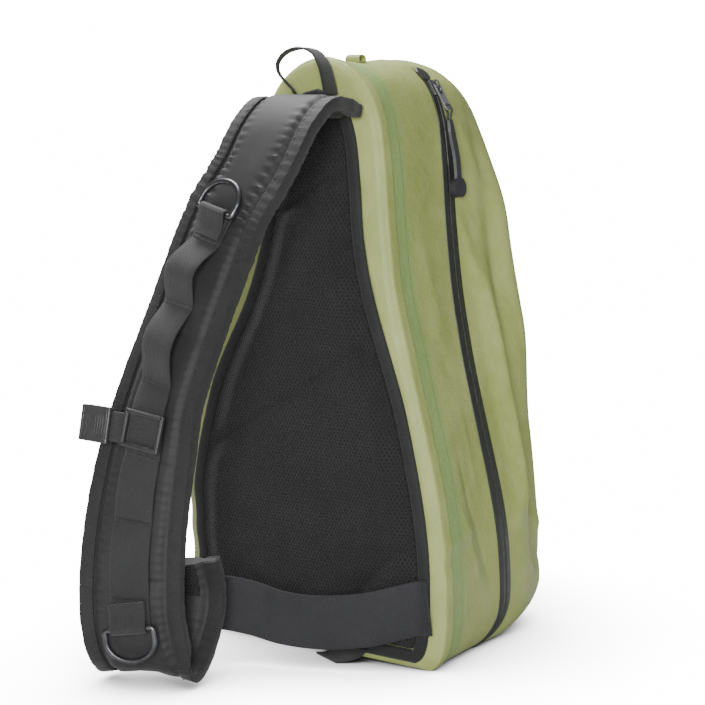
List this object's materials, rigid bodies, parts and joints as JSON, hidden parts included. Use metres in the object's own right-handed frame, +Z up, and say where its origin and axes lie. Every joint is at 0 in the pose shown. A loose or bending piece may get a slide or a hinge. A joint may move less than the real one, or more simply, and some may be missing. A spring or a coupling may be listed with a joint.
{
  "type": "sling bag",
  "caption": "Teardrop fishing tackle sling bag with a padded back panel, one padded strap with a webbing ladder, D-rings and a side zipper with a rubber puller.",
  "frame": {"origin": "middle of the flat base, on the floor", "axes": "+Z up, -Y towards the wearer's back and the strap, +X towards the zipper's side"},
  "size_m": [0.2228, 0.328, 0.4227],
  "materials": {
    "shell_cloth": "satin",
    "air_mesh": "matte",
    "binding_tape": "matte",
    "strap_cloth": "matte",
    "webbing": "matte",
    "ring_metal": "satin",
    "black_plastic": "matte",
    "zip_tape": "satin",
    "slider_metal": "satin",
    "soft_rubber": "matte"
  },
  "bodies": {
    "base": {"shell": "shell_cloth", "back_panel": "air_mesh", "panel_binding": "binding_tape", "strap_pad": "strap_cloth", "strap_binding_left": "binding_tape", "strap_binding_right": "binding_tape", "strap_mesh": "air_mesh", "daisy_webbing": "webbing", "upper_ring_tab": "webbing", "lower_ring_tab": "webbing", "sternum_slider": "black_plastic", "sternum_webbing": "webbing", "sternum_buckle": "black_plastic", "bottom_band": "webbing", "base_tab": "webbing", "haul_loop": "webbing", "lash_tab": "shell_cloth", "zip_tape": "zip_tape", "zip_garage": "zip_tape", "zip_slider": "slider_metal"},
    "upper_ring": {"upper_d_ring": "ring_metal"},
    "lower_ring": {"lower_d_ring": "ring_metal"},
    "zip_pull": {"zip_pull_tab": "slider_metal", "zip_puller": "soft_rubber"}
  },
  "joints": [
    {"name": "upper_ring_swing", "type": "hinge", "parent": "base", "child": "upper_ring", "pos_m": [-0.00993, -0.13601, 0.31509], "axis": [0.9584, -0.1885, -0.2145], "range_deg": [0, 150]},
    {"name": "lower_ring_swing", "type": "hinge", "parent": "base", "child": "lower_ring", "pos_m": [-0.03866, -0.19354, 0.04299], "axis": [-0.9195, -0.3656, -0.1441], "range_deg": [-4, 150]},
    {"name": "zip_pull_swing", "type": "hinge", "parent": "base", "child": "zip_pull", "pos_m": [0.04177, 0.05298, 0.39698], "axis": [-0.0074, -0.9999, 0.012], "range_deg": [0, 120]}
  ]
}
